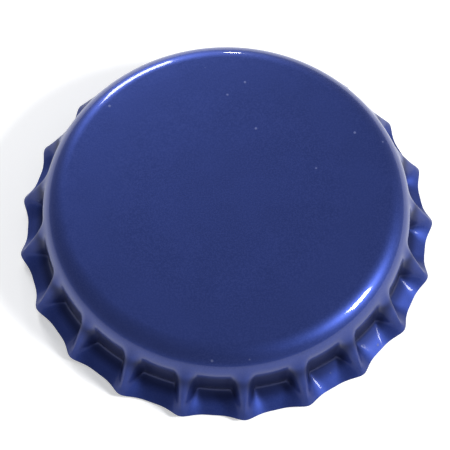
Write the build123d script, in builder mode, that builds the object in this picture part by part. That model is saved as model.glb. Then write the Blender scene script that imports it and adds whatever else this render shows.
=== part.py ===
# Crown bottle cap: a disc of thin lacquered steel pressed into a shallow drum
# with a fluted, flared skirt, and a soft sealing disc moulded under its top.
# Millimetres. +Z is up through the top, the valleys of the skirt stand on
# Z = 0, the Z axis is the axis of the cap and one ridge points along +X.
import os
from math import acos, atan2, cos, degrees, hypot, radians, sin, sqrt, tan

from build123d import *

# ---- driving dimensions -------------------------------------------------
FLUTES = 21               # ridges round the skirt
HEIGHT = 6.0              # valleys' edge to the middle of the top
SHEET = 0.24              # thickness of the lacquered steel
TIP_RADIUS = 16.05        # ridge tips, at the skirt's edge
VALLEY_RADIUS = 15.5      # valleys between the tips, at the skirt's edge
TIP_LIFT = 0.35           # tips end this much above the valleys' edge
DRUM_RADIUS = 13.9        # upright wall under the shoulder
SHOULDER_RADIUS = 1.95    # rounded corner between wall and top
CAMBER = 0.15             # rise of the top from the shoulder to its middle
FLARE_ANGLE = 56.0        # degrees from upright of the valleys' flared foot
CREASE_BLEND = 0.55       # softness of the crease between wall and foot
RIDGE_PULL = 0.2          # roundness of the ridges, as a share of half a flute
EDGE_PULL = 0.5           # flatness of the valleys at the edge, likewise
NECK_PULL = 0.78          # flatness of the valleys up at the shoulder

LINER_MARGIN = 0.66       # from the sealing disc's outside to the drum's wall
LINER_WEB = 0.35          # thin middle of the disc
LINER_LAND = 0.6          # thicker band outside the ring
RING_MARGIN = 2.4         # from the disc's outside to the crest of its ring
RING_WIDTH = 1.6          # ring, across its root
RING_DEPTH = 1.2          # ring, from the steel down to its crest
LINER_CLEARANCE = 0.01    # between the disc and the steel round it

# ---- derived ------------------------------------------------------------
HALF = radians(180 / FLUTES)                   # ridge to valley, as an angle
FLARE = radians(FLARE_ANGLE)
EDGE_LIFT = SHEET * sin(FLARE)                 # outer corner of the cut edge
SHOULDER_Z = HEIGHT - CAMBER - SHOULDER_RADIUS
FLAT_RADIUS = DRUM_RADIUS - SHOULDER_RADIUS
LINER_RADIUS = DRUM_RADIUS - SHEET - LINER_MARGIN
RING_RADIUS = LINER_RADIUS - RING_MARGIN
CROWN_DROP = SHOULDER_RADIUS + CAMBER
CROWN_RADIUS = (FLAT_RADIUS**2 + CROWN_DROP**2 - SHOULDER_RADIUS**2) / (2 * CAMBER)
CROWN_START = atan2(CROWN_RADIUS - CROWN_DROP, FLAT_RADIUS)
FLANK_SHIFT = 0.5         # share of the sheet that its inside gains on a flank
HEIGHTS = 10              # outlines drawn between the cut edge and the shoulder
EVEN = [k / 6 for k in range(7)]

# The ridges leave the shoulder along its tangent and run straight to the tips.
tip_away = TIP_RADIUS - FLAT_RADIUS
tip_above = TIP_LIFT + EDGE_LIFT - SHOULDER_Z
LEAVE = atan2(tip_above, tip_away) + acos(SHOULDER_RADIUS / hypot(tip_away, tip_above))


def shoulder_point(angle, inset):
    """Point of the shoulder's section, an inset below its surface."""
    reach = SHOULDER_RADIUS - inset
    return FLAT_RADIUS + reach * cos(angle), 0, SHOULDER_Z + reach * sin(angle)


def crown_point(angle, inset):
    """Point of the cambered top's section, an inset below its surface."""
    reach = CROWN_RADIUS - inset
    return reach * cos(angle), 0, HEIGHT - CROWN_RADIUS + reach * sin(angle)


def ridge_radius(z, inset):
    leave_radius, _, leave_z = shoulder_point(LEAVE, 0)
    return leave_radius + (leave_z - z) * tan(LEAVE) - inset / cos(LEAVE)


def valley_radius(z, inset):
    wall = DRUM_RADIUS - inset
    if z > SHOULDER_Z:
        wall = FLAT_RADIUS + sqrt((SHOULDER_RADIUS - inset) ** 2 - (z - SHOULDER_Z) ** 2)
    foot = VALLEY_RADIUS - (z - EDGE_LIFT) * tan(FLARE) - inset / cos(FLARE)
    blend = max(CREASE_BLEND - abs(wall - foot), 0)
    return max(wall, foot) + blend**2 / (4 * CREASE_BLEND)


def half_flute(half, z, inset):
    """Control points of half a flute's level outline, in turning order."""
    ridge_first = half % 2 == 0
    side = 1 if ridge_first else -1
    ridge = (half + 1) // 2 * 2 * HALF
    valley = ridge + side * HALF
    up = min(max(z / SHOULDER_Z, 0), 1)
    high, low = ridge_radius(z, inset), valley_radius(z, inset)
    round_off = side * (RIDGE_PULL * HALF * high - FLANK_SHIFT * inset)
    flatness = EDGE_PULL + (NECK_PULL - EDGE_PULL) * up
    flatten = side * (flatness * HALF * low + FLANK_SHIFT * inset)
    points = [
        (high * cos(ridge), high * sin(ridge), z),
        (high * cos(ridge) - round_off * sin(ridge), high * sin(ridge) + round_off * cos(ridge), z),
        (low * cos(valley) + flatten * sin(valley), low * sin(valley) - flatten * cos(valley), z),
        (low * cos(valley), low * sin(valley), z),
    ]
    return points if ridge_first else points[::-1]


def edge_point(half, share, inset):
    """Point of the skirt's cut edge, which runs on a shallow cone."""
    slope = TIP_LIFT / (TIP_RADIUS - VALLEY_RADIUS)
    rest = 1 - share
    weights = (rest**3, 3 * share * rest**2, 3 * share**2 * rest, share**3)
    z = 0
    for _ in range(40):
        points = half_flute(half, z, inset)
        x, y = (sum(w * p[k] for w, p in zip(weights, points)) for k in (0, 1))
        away = hypot(x, y) - VALLEY_RADIUS + inset * cos(FLARE)
        z = (z + slope * away + (SHEET - inset) * sin(FLARE)) / 2
    return x, y, z


def cut_wire(inset):
    edges = []
    for half in range(2 * FLUTES):
        ends = [(-sin(turn * HALF), cos(turn * HALF), 0) for turn in (half, half + 1)]
        points = [edge_point(half, share, inset) for share in EVEN]
        edges.append(Edge.make_spline(points, tangents=ends, parameters=EVEN))
    return Wire(edges)


def level_wire(z, inset):
    return Wire([Edge.make_bezier(*half_flute(half, z, inset)) for half in range(2 * FLUTES)])


def neck_wire(inset):
    radius, _, z = shoulder_point(LEAVE, inset)
    plane, turn = Plane.XY.offset(z), degrees(HALF)
    return Wire([
        Edge.make_circle(radius, plane, half * turn, (half + 1) * turn)
        for half in range(2 * FLUTES)
    ])


def skirt_faces(inset):
    top = shoulder_point(LEAVE, inset)[2]
    low = EDGE_LIFT + TIP_LIFT + (top - EDGE_LIFT - TIP_LIFT) / 14
    levels = [low + (top - low) * k / HEIGHTS for k in range(HEIGHTS)]
    wires = [cut_wire(inset)] + [level_wire(z, inset) for z in levels] + [neck_wire(inset)]
    return Shell.make_loft(wires).faces()


def crown_faces(inset):
    edges = []
    for point, first, last in (
        (shoulder_point, LEAVE, CROWN_START),
        (crown_point, CROWN_START, radians(90)),
    ):
        through = [point(angle, inset) for angle in (first, (first + last) / 2, last)]
        edges.append(Edge.make_three_point_arc(*through))
    return Shell.revolve(Wire(edges), 360, Axis.Z).faces()


# ---- shell: one pressed sheet, so its outside, inside and cut edge are ---
# ---- drawn as faces and closed into a solid ------------------------------
with BuildPart() as shell:
    faces = crown_faces(0) + skirt_faces(0) + crown_faces(SHEET) + skirt_faces(SHEET)
    faces += Shell.make_loft([cut_wire(0), cut_wire(SHEET)], ruled=True).faces()
    add(Solid(Shell(faces)))
shell.part.label = "shell"

# ---- liner: moulded in place, so its back follows the inside of the top --
with BuildPart() as liner:
    inset = SHEET + LINER_CLEARANCE
    reach = SHOULDER_RADIUS - inset
    steel_z = HEIGHT - CAMBER - SHEET
    rim = acos((LINER_RADIUS - FLAT_RADIUS) / reach)
    ring_in = (RING_RADIUS - RING_WIDTH / 2, steel_z - LINER_WEB)
    ring_out = (RING_RADIUS + RING_WIDTH / 2, steel_z - LINER_LAND)
    with BuildSketch(Plane.XZ):
        with BuildLine():
            CenterArc((0, HEIGHT - CROWN_RADIUS), CROWN_RADIUS - inset,
                      degrees(CROWN_START), 90 - degrees(CROWN_START))
            back = CenterArc((FLAT_RADIUS, SHOULDER_Z), reach,
                             degrees(rim), degrees(CROWN_START - rim))
            Line(back @ 0, (LINER_RADIUS, steel_z - LINER_LAND))
            Line((LINER_RADIUS, steel_z - LINER_LAND), ring_out)
            Spline(ring_out, (RING_RADIUS, steel_z - RING_DEPTH), ring_in)
            Line(ring_in, (0, steel_z - LINER_WEB))
            Line((0, steel_z - LINER_WEB), (0, HEIGHT - inset))
        make_face()
    revolve(axis=Axis.Z)
liner.part.label = "liner"

os.makedirs("parts", exist_ok=True)
export_step(shell.part, "parts/shell.step")
export_step(liner.part, "parts/liner.step")
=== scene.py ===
import math

import bpy
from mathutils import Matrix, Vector


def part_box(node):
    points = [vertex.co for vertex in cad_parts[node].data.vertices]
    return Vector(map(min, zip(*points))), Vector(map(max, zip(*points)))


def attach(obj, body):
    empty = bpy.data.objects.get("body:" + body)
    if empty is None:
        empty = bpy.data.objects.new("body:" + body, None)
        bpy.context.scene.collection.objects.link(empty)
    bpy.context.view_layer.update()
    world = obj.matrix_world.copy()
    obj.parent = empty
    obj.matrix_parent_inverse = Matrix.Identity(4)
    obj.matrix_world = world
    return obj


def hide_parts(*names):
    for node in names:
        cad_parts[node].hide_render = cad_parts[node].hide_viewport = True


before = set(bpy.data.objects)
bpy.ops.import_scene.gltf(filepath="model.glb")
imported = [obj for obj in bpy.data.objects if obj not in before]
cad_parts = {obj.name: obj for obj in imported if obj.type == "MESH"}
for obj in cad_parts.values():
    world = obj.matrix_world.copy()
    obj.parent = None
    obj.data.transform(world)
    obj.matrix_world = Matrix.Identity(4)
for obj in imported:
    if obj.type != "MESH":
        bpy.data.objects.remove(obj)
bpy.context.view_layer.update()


# ---- Shell ---------------------------------------------------------------
# The cap's steel: a flat printed blank, lacquered blue outside and clear
# inside, then punched and drawn so that its skirt gathers into flutes. The
# lacquer is sprayed and baked, so it has a faint orange peel and holds dust.
shell_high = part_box("shell")[1]
flutes = 21
sheet = 0.24e-3
height = shell_high.z
tip_radius = shell_high.x
flute_depth = 0.55e-3
valley_radius = tip_radius - flute_depth
tip_lift = 0.35e-3
drum_radius = 13.9e-3
shoulder = 1.95e-3
camber = 0.15e-3
flare = math.radians(56)
crease = 0.30e-3
half_flute = math.pi / flutes
edge_lift = sheet * math.sin(flare)
shoulder_z = height - camber - shoulder
flat_radius = drum_radius - shoulder
crown_drop = shoulder + camber
crown_radius = (flat_radius**2 + crown_drop**2 - shoulder**2) / (2 * camber)
crown_start = math.atan2(crown_radius - crown_drop, flat_radius)

# A ridge leaves the shoulder on a straight line that ends at its tip.
tip_away = tip_radius - flat_radius
tip_above = tip_lift + edge_lift - shoulder_z
leave = math.atan2(tip_above, tip_away) + math.acos(shoulder / math.hypot(tip_away, tip_above))
leave_radius = flat_radius + shoulder * math.cos(leave)
leave_z = shoulder_z + shoulder * math.sin(leave)

# The flutes are round waves at the cut edge and turn into square pockets,
# with narrower ridges between them, over this height.
squaring_start = 0.1e-3
squaring_height = 1.2e-3
pocket_share = 0.54
inside_share = 0.3
edge_power = 1.7
power_drop = 0.7


def skirt_radius(share, z, inset):
    """Radius of the skirt, share of the way from a ridge to a valley."""
    ridge = leave_radius + (leave_z - z) * math.tan(leave) - inset / math.cos(leave)
    wall = drum_radius - inset
    if z > shoulder_z:
        wall = flat_radius + math.sqrt(max((shoulder - inset) ** 2 - (z - shoulder_z) ** 2, 0))
    foot = valley_radius - (z - edge_lift) * math.tan(flare) - inset / math.cos(flare)
    blend = max(crease - abs(wall - foot), 0)
    valley = max(wall, foot) + blend**2 / (4 * crease)
    square = min(max((z - squaring_start) / squaring_height, 0), 1)
    square = square * square * (3 - 2 * square)
    flank = 1 - pocket_share * square - inside_share * inset / (half_flute * drum_radius)
    wave = 0.5 + 0.5 * math.cos(math.pi * min(share / flank, 1))
    return valley + (ridge - valley) * wave ** (edge_power - power_drop * square)


def edge_height(share, inset):
    """Height of the cut edge of the sheet, which dips between the ridges."""
    slope = tip_lift / (tip_radius - valley_radius)
    settling_rounds = 30
    z = 0
    for _ in range(settling_rounds):
        away = skirt_radius(share, z, inset) - valley_radius + inset * math.cos(flare)
        z = (z + slope * away + (sheet - inset) * math.sin(flare)) / 2
    return z


skirt_rows = 34
shoulder_rows = 14
crown_rows = 9


def shell_column(share, inset):
    """Radius and height from the cut edge up to the top, on one side of the sheet."""
    join_z = shoulder_z + (shoulder - inset) * math.sin(leave)
    edge_z = edge_height(share, inset)
    points = []
    for row in range(skirt_rows):
        z = edge_z + (join_z - edge_z) * row / skirt_rows
        points.append((skirt_radius(share, z, inset), z))
    reach = shoulder - inset
    for row in range(shoulder_rows + 1):
        lean = leave + (crown_start - leave) * row / shoulder_rows
        points.append((flat_radius + reach * math.cos(lean), shoulder_z + reach * math.sin(lean)))
    rim_radius = points[-1][0]
    for row in range(1, crown_rows):
        radius = rim_radius * (1 - row / crown_rows)
        dome = math.sqrt((crown_radius - inset) ** 2 - radius**2)
        points.append((radius, height - crown_radius + dome))
    return points


# Each column runs down the inside of the sheet, round the cut edge and up the
# outside, so the faces between two columns are clear, then bare, then blue.
blue_outside, clear_inside, bare_edge = 0, 1, 2
half_columns = 14
vertices, faces, rings, coats = [], [], [], []
for flute in range(flutes):
    for k in range(-half_columns, half_columns):
        share = abs(k) / half_columns
        turn = 2 * half_flute * flute + math.copysign(share, k) * half_flute
        inside, outside = shell_column(share, sheet), shell_column(share, 0)
        ring = inside[::-1] + outside
        rings.append([len(vertices) + i for i in range(len(ring))])
        vertices += [(r * math.cos(turn), r * math.sin(turn), z) for r, z in ring]
last_inside = len(inside) - 1
for here, after in zip(rings, rings[1:] + rings[:1]):
    for i in range(len(here) - 1):
        faces.append((here[i], after[i], after[i + 1], here[i + 1]))
        coats.append(clear_inside if i < last_inside else bare_edge if i == last_inside else blue_outside)
middle_in, middle_out = len(vertices), len(vertices) + 1
vertices += [(0, 0, height - sheet), (0, 0, height)]
for here, after in zip(rings, rings[1:] + rings[:1]):
    faces.append((after[0], here[0], middle_in))
    faces.append((here[-1], after[-1], middle_out))
    coats += [clear_inside, blue_outside]


def placed(name, vertices, faces):
    """A new object with this mesh, in the scene."""
    mesh = bpy.data.meshes.new(name)
    mesh.from_pydata(vertices, [], faces)
    piece = bpy.data.objects.new(name, mesh)
    bpy.context.scene.collection.objects.link(piece)
    return piece


shell = placed("shell_sheet", vertices, faces)
shell.data.shade_smooth()
shell.data.set_sharp_from_angle(angle=math.radians(45))
for polygon, coat in zip(shell.data.polygons, coats):
    polygon.material_index = coat


class Socket:
    """A value in a material: arithmetic on it adds Math nodes to the same tree."""

    def __init__(self, tree, socket=None):
        self.tree = tree
        self.socket = socket

    def node(self, kind, settings=None, out=0, **inputs):
        """A new node's output. An input is given by its name, or as i0, i1 by its number."""
        made = self.tree.nodes.new(kind)
        for name, value in (settings or {}).items():
            setattr(made, name, value)
        for name, value in inputs.items():
            key = int(name[1:]) if name[0] == "i" and name[1:].isdigit() else name.replace("_", " ")
            if isinstance(value, Socket):
                self.tree.links.new(value.socket, made.inputs[key])
            else:
                made.inputs[key].default_value = value
        return Socket(self.tree, made.outputs[out])

    def beside(self, name):
        """Another output of the node that this value comes from."""
        return Socket(self.tree, self.socket.node.outputs[name])

    def feed(self, shader, name):
        """Links this value to an input of the shader."""
        self.tree.links.new(self.socket, shader.inputs[name])

    def math(self, operation, first, second):
        return self.node("ShaderNodeMath", {"operation": operation}, i0=first, i1=second)

    def __add__(self, other):
        return self.math("ADD", self, other)

    def __radd__(self, other):
        return self.math("ADD", other, self)

    def __sub__(self, other):
        return self.math("SUBTRACT", self, other)

    def __rsub__(self, other):
        return self.math("SUBTRACT", other, self)

    def __mul__(self, other):
        return self.math("MULTIPLY", self, other)

    def __rmul__(self, other):
        return self.math("MULTIPLY", other, self)

    def __pow__(self, other):
        return self.math("POWER", self, other)

    def ramp(self, low, high):
        """0 below low, 1 above high, smooth between them."""
        settings = {"interpolation_type": "SMOOTHSTEP"}
        return self.node("ShaderNodeMapRange", settings, Value=self, From_Min=low, From_Max=high)

    def mix(self, first, second):
        """Colour between first and second, with this value as the share of second."""
        return self.node("ShaderNodeMix", {"data_type": "RGBA"}, out=2, i0=self, i6=first, i7=second)

    def noise(self, scale, detail, roughness=0.5):
        """Cloudy noise from 0 to 1 at this place."""
        return self.node("ShaderNodeTexNoise", Vector=self, Scale=scale, Detail=detail, Roughness=roughness)

    def bump(self, strength, distance):
        """A surface that rises and falls with this value."""
        return self.node("ShaderNodeBump", Height=self, Strength=strength, Distance=distance)


def finish(name):
    """A new material, its shader, and a point's place in the cap's frame."""
    material = bpy.data.materials.new(name)
    material.use_nodes = True
    place = Socket(material.node_tree).node("ShaderNodeTexCoord", out="Object")
    return material, material.node_tree.nodes["Principled BSDF"], place


# Blue lacquer: thinner and duller where the draw stretched it past the drum, with painted shade that
# darkens the colour in the pockets between the ridges.
deep_blue, full_blue = (0.0185, 0.0395, 0.208, 1), (0.0205, 0.0425, 0.221, 1)
flake_blue = (0.038, 0.062, 0.255, 1)
pale_dust = (0.30, 0.34, 0.55, 1)
# Painted shade: a near-black blue put into the pockets between the ridges.
painted_pocket_shade = (0.002, 0.005, 0.03, 1)
blue_lacquer, shader, place = finish("blue lacquer")
across = place.node("ShaderNodeSeparateXYZ", Vector=place)
depth, level = across.beside("Y"), across.beside("Z")
out = (across * across + depth * depth) ** 0.5
stretched = out.ramp(drum_radius - 0.3e-3, drum_radius + 0.5e-3)
behind_drum = out.ramp(drum_radius - 0.25e-3, drum_radius)
past_pocket = out.ramp(drum_radius + 0.35e-3, drum_radius + 1.1e-3)
below_shoulder = 1.0 - level.ramp(shoulder_z - 0.7e-3, shoulder_z + 0.1e-3)
# Mask of the pockets, where shade is painted into the colour and the coat weight is lowered.
pocket = behind_drum * (1.0 - past_pocket) * below_shoulder
peel = place.noise(2600.0, 2.0)
waves = place.noise(420.0, 1.0, 0.4)
grain = place.noise(9000.0, 1.0)
fleck = 1.0 - place.node("ShaderNodeTexVoronoi", Vector=place, Scale=700.0).ramp(0.05, 0.09)
specks = fleck * place.noise(500.0, 0.0).ramp(0.52, 0.60)
tone = waves.ramp(0.35, 0.65).mix(deep_blue, full_blue)
tone = (grain.ramp(0.35, 0.7) * 0.42).mix(tone, flake_blue)
tone = (specks * 0.35).mix(tone, pale_dust)
# Painted shade: the pockets are mixed most of the way to near-black blue.
tone = (pocket * 0.72).mix(tone, painted_pocket_shade)
tone.feed(shader, "Base Color")
dullness = 0.41 + specks * 0.2 + stretched * 0.1 + grain.ramp(0.3, 0.8) * 0.06
dullness.feed(shader, "Roughness")
(0.62 - stretched * 0.42 - pocket * 0.12).feed(shader, "Coat Weight")
(peel * 0.5 + waves * 1.5 + specks * 0.6).bump(0.12, 0.05e-3).feed(shader, "Normal")
shader.inputs["Metallic"].default_value = 0.84
shader.inputs["IOR"].default_value = 1.5
shader.inputs["Coat Roughness"].default_value = 0.07

# Clear lacquer over rolled steel, with the mill's fine lines along X.
dark_steel, pale_steel = (0.50, 0.49, 0.46, 1), (0.66, 0.64, 0.60, 1)
clear_lacquer, shader, place = finish("clear lacquered steel")
mill = place.node("ShaderNodeMapping", Vector=place, Scale=(300.0, 9000.0, 300.0)).noise(1.0, 3.0)
cloud = place.noise(500.0, 2.0)
mill.mix(dark_steel, pale_steel).feed(shader, "Base Color")
(0.24 + mill * 0.14 + cloud * 0.08).feed(shader, "Roughness")
mill.bump(0.08, 0.03e-3).feed(shader, "Normal")
shader.inputs["Metallic"].default_value = 0.9

# Bare steel where the blank was punched out, dull and slightly burred.
dark_edge, pale_edge = (0.09, 0.09, 0.10, 1), (0.20, 0.20, 0.21, 1)
cut_steel, shader, place = finish("cut steel edge")
burr = place.noise(6000.0, 2.0)
burr.mix(dark_edge, pale_edge).feed(shader, "Base Color")
(0.45 + burr * 0.2).feed(shader, "Roughness")
shader.inputs["Metallic"].default_value = 0.7

for material in (blue_lacquer, clear_lacquer, cut_steel):
    shell.data.materials.append(material)
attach(shell, "root")
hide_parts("shell")


# ---- Liner ---------------------------------------------------------------
# The sealing disc: a pellet of soft off-white compound, dropped hot into the
# shell and stamped, so it has a thin web, a raised ring for the bottle's lip
# and a flat land outside it. It is bonded to the lacquer and never comes out.
liner_low, liner_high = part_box("liner")
liner_radius = liner_high.x
steel_z = height - camber - sheet
back_gap = 0.01e-3
web, land, ring_depth = 0.35e-3, 0.6e-3, 1.2e-3
ring_radius, ring_reach, ring_power = 10.6e-3, 0.8e-3, 0.9
corner = ((0.12e-3, land), (0.03e-3, 0.57e-3), (0.0, 0.5e-3))
ring_steps, back_steps, around = 20, 6, 168

profile = [(0.0, steel_z - web)]
for k in range(ring_steps + 1):
    lean = math.pi * (k / ring_steps)
    base = web + (land - web) * k / ring_steps
    z = steel_z - base - (ring_depth - base) * math.sin(lean) ** ring_power
    profile.append((ring_radius - ring_reach * math.cos(lean), max(z, liner_low.z)))
for inset, drop in corner:
    profile.append((liner_radius - inset, steel_z - drop))
reach = shoulder - sheet - back_gap
rim = math.acos((liner_radius - flat_radius) / reach)
for k in range(back_steps + 1):
    lean = rim + (crown_start - rim) * k / back_steps
    profile.append((flat_radius + reach * math.cos(lean), shoulder_z + reach * math.sin(lean)))
profile.append((0.0, liner_high.z))

vertices, faces = [], []
for k in range(around):
    turn = 2 * math.pi * k / around
    vertices += [(r * math.cos(turn), r * math.sin(turn), z) for r, z in profile[1:-1]]
middle_low, middle_high = len(vertices), len(vertices) + 1
vertices += [(0, 0, profile[0][1]), (0, 0, profile[-1][1])]
count = len(profile) - 2
for k in range(around):
    here, after = k * count, (k + 1) % around * count
    for i in range(count - 1):
        faces.append((here + i, after + i, after + i + 1, here + i + 1))
    faces.append((after, here, middle_low))
    faces.append((here + count - 1, after + count - 1, middle_high))
liner = placed("sealing_disc", vertices, faces)
liner.data.validate()
liner.data.shade_smooth()

dark_compound, pale_compound = (0.70, 0.71, 0.68, 1), (0.80, 0.80, 0.77, 1)
compound, shader, place = finish("sealing compound")
cloud = place.noise(350.0, 3.0)
cloud.mix(dark_compound, pale_compound).feed(shader, "Base Color")
(0.38 + cloud * 0.12).feed(shader, "Roughness")
(place.noise(5000.0, 2.0) + cloud).bump(0.12, 0.05e-3).feed(shader, "Normal")
shader.inputs["Subsurface Weight"].default_value = 0.15
shader.inputs["Subsurface Radius"].default_value = (0.0006, 0.0006, 0.0005)
liner.data.materials.append(compound)

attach(liner, "root")
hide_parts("liner")


# ---- Floor ---------------------------------------------------------------
# A plain white table that runs out of sight on every side. Seen directly, in
# gloss or through glass it is lifted towards white, more so far out, and that
# lift adds nothing to the diffuse light on the cap.
wide = 6.0
lift_start, lift_end = 0.06, 0.50
no_lift, near_lift, far_lift = (0, 0, 0, 1), (0.36, 0.36, 0.36, 1), (0.70, 0.70, 0.70, 1)
corners = [(-wide, -wide, 0), (wide, -wide, 0), (wide, wide, 0), (-wide, wide, 0)]
floor = placed("floor", corners, [(0, 1, 2, 3)])
white_table, shader, place = finish("white table")
direct = place.node("ShaderNodeLightPath", out="Is Camera Ray")
mirrored, through = direct.beside("Is Glossy Ray"), direct.beside("Is Transmission Ray")
seen = direct.math("MAXIMUM", direct.math("MAXIMUM", direct, mirrored), through)
across = place.node("ShaderNodeSeparateXYZ", Vector=place)
depth = across.beside("Y")
away = ((across * across + depth * depth) ** 0.5).ramp(lift_start, lift_end)
seen.mix(no_lift, away.mix(near_lift, far_lift)).feed(shader, "Emission Color")
shader.inputs["Emission Strength"].default_value = 1.0
shader.inputs["Base Color"].default_value = (0.93, 0.93, 0.93, 1)
shader.inputs["Roughness"].default_value = 0.9
shader.inputs["Specular IOR Level"].default_value = 0.0
floor.data.materials.append(white_table)


# ---- Light ---------------------------------------------------------------
# Three soft boxes: one low behind on the left, one small on the right, and
# one far off straight behind, with an even pale room around them.
room = bpy.data.worlds.new("room")
room.use_nodes = True
room.node_tree.nodes["Background"].inputs["Color"].default_value = (0.9, 0.93, 1.0, 1)
room.node_tree.nodes["Background"].inputs["Strength"].default_value = 0.34
bpy.context.scene.world = room


def direction(azimuth, elevation):
    """From the cap outwards: azimuth in degrees from +X towards +Y, elevation from the floor."""
    a, e = math.radians(azimuth), math.radians(elevation)
    return Vector((math.cos(a) * math.cos(e), math.sin(a) * math.cos(e), math.sin(e)))


def aimed(name, data, place, target):
    """A lamp or a camera that stands at place and looks at target."""
    piece = bpy.data.objects.new(name, data)
    piece.location = place
    piece.rotation_mode = "QUATERNION"
    piece.rotation_quaternion = (target - place).to_track_quat("-Z", "Y")
    bpy.context.scene.collection.objects.link(piece)
    return piece


top_middle = Vector((0, 0, height))
for name, azimuth, elevation, distance, size, watts in (
    ("back box", 108, 28, 0.30, 0.075, 0.46),
    ("right box", -17, 37, 0.28, 0.055, 0.70),
    ("far box", 88, 22, 0.60, 0.03, 0.30),
):
    lamp = bpy.data.lights.new(name, "AREA")
    lamp.shape = "SQUARE"
    lamp.size = size
    lamp.energy = watts
    aimed(name, lamp, direction(azimuth, elevation) * distance, top_middle)


# ---- Camera --------------------------------------------------------------
# It stands three and a half of the cap's widths away in front, and looks down
# steeply at the middle of the ring of tips.
eye = bpy.data.cameras.new("camera")
eye.sensor_width = 36.0
eye.lens = 114.2
eye.clip_start = 0.005
eye.clip_end = 5.0
eye.shift_x = -0.00316
eye.shift_y = -0.00096
tips_middle = Vector((0, 0, tip_lift + edge_lift))
camera = aimed("camera", eye, tips_middle + direction(-90.67, 63.1) * 0.1112, tips_middle)
bpy.context.scene.camera = camera
bpy.context.scene.view_settings.view_transform = "Standard"
